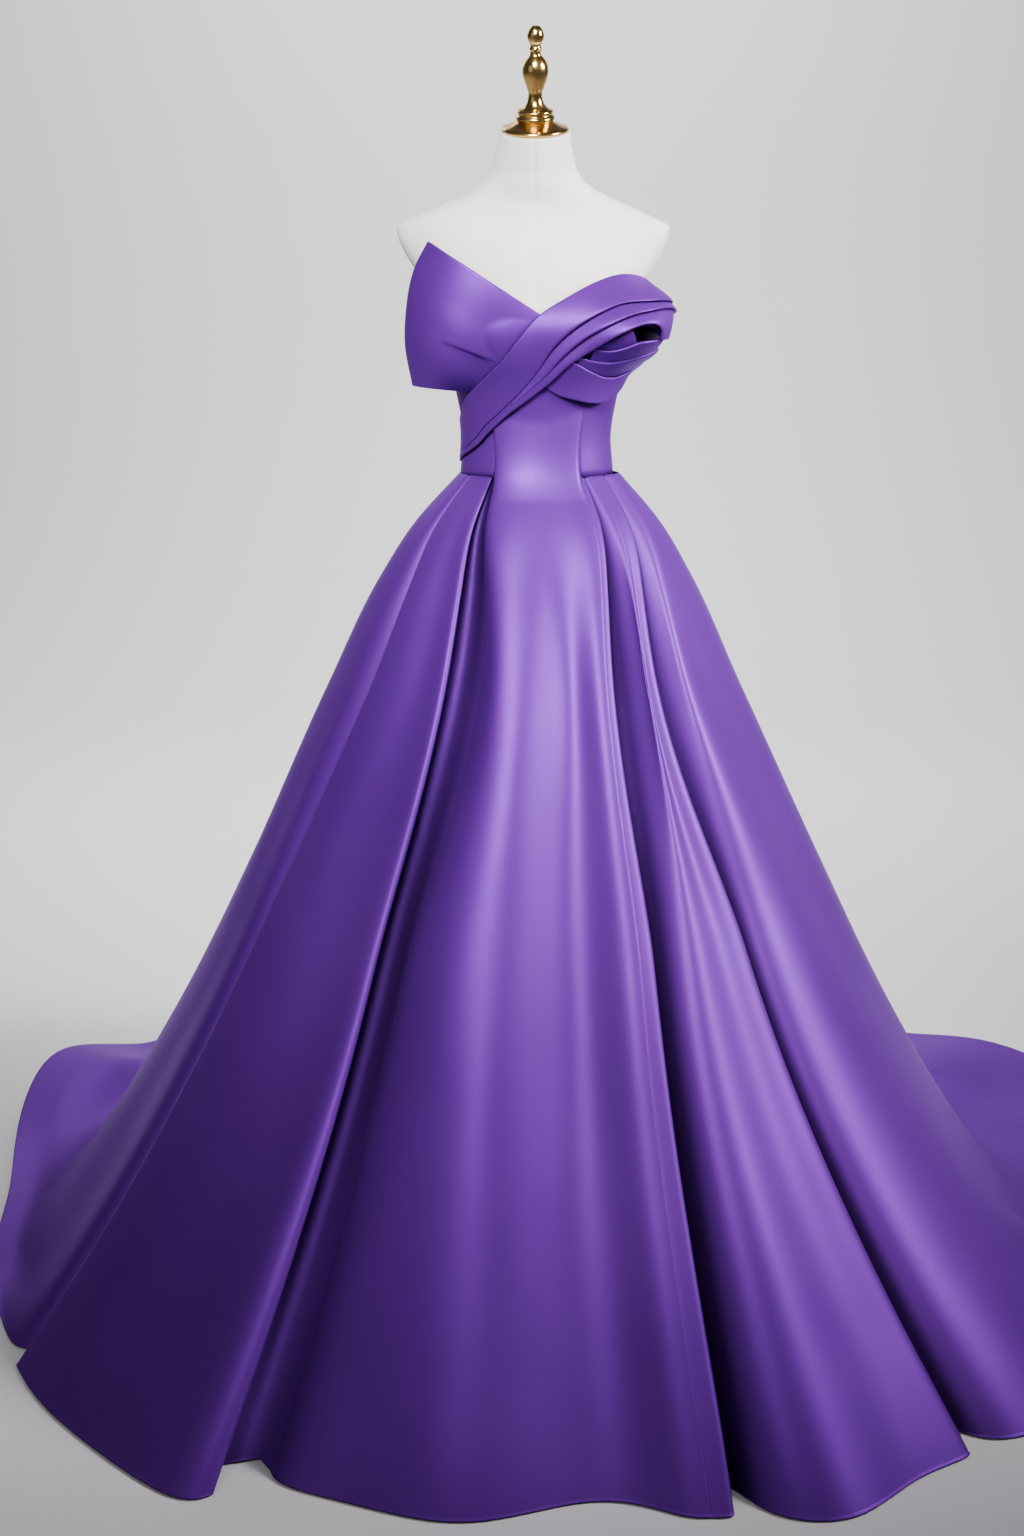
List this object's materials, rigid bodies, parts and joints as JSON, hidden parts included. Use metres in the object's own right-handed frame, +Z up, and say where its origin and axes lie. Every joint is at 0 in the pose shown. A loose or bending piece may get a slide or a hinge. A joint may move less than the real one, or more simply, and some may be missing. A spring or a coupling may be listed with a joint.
{
  "type": "ball gown on a dress form",
  "caption": "Strapless satin ball gown with deep waist pleats, a draped bust and a floor train, worn by a limbless dress form on a plain round stand.",
  "frame": {"origin": "centre of the stand's underside, on the floor", "axes": "+Z up; the gown's front faces -Y, so the viewer's left is -X"},
  "size_m": [1.939, 1.7253, 1.7345],
  "materials": {
    "purple_satin": "soft satin",
    "zip_tape": "matt",
    "cream_cotton": "matt",
    "polished_gold": "polished",
    "white_stand": "satin"
  },
  "bodies": {
    "root": {"centre_front": "purple_satin", "bodice_side_left": "purple_satin", "bodice_side_right": "purple_satin", "bodice_back_left": "purple_satin", "bodice_back_right": "purple_satin", "skirt_side_left": "purple_satin", "skirt_side_right": "purple_satin", "skirt_back_left": "purple_satin", "skirt_back_right": "purple_satin", "back_zip": "zip_tape", "drape_wing": "purple_satin", "drape_band": "purple_satin", "bud_heart": "purple_satin", "bud_ring_inner": "purple_satin", "bud_ring_outer": "purple_satin", "bud_cup": "purple_satin", "form_torso": "cream_cotton", "neck_cap": "polished_gold", "finial": "polished_gold", "stand_pole": "white_stand", "stand_base": "white_stand"}
  },
  "joints": []
}
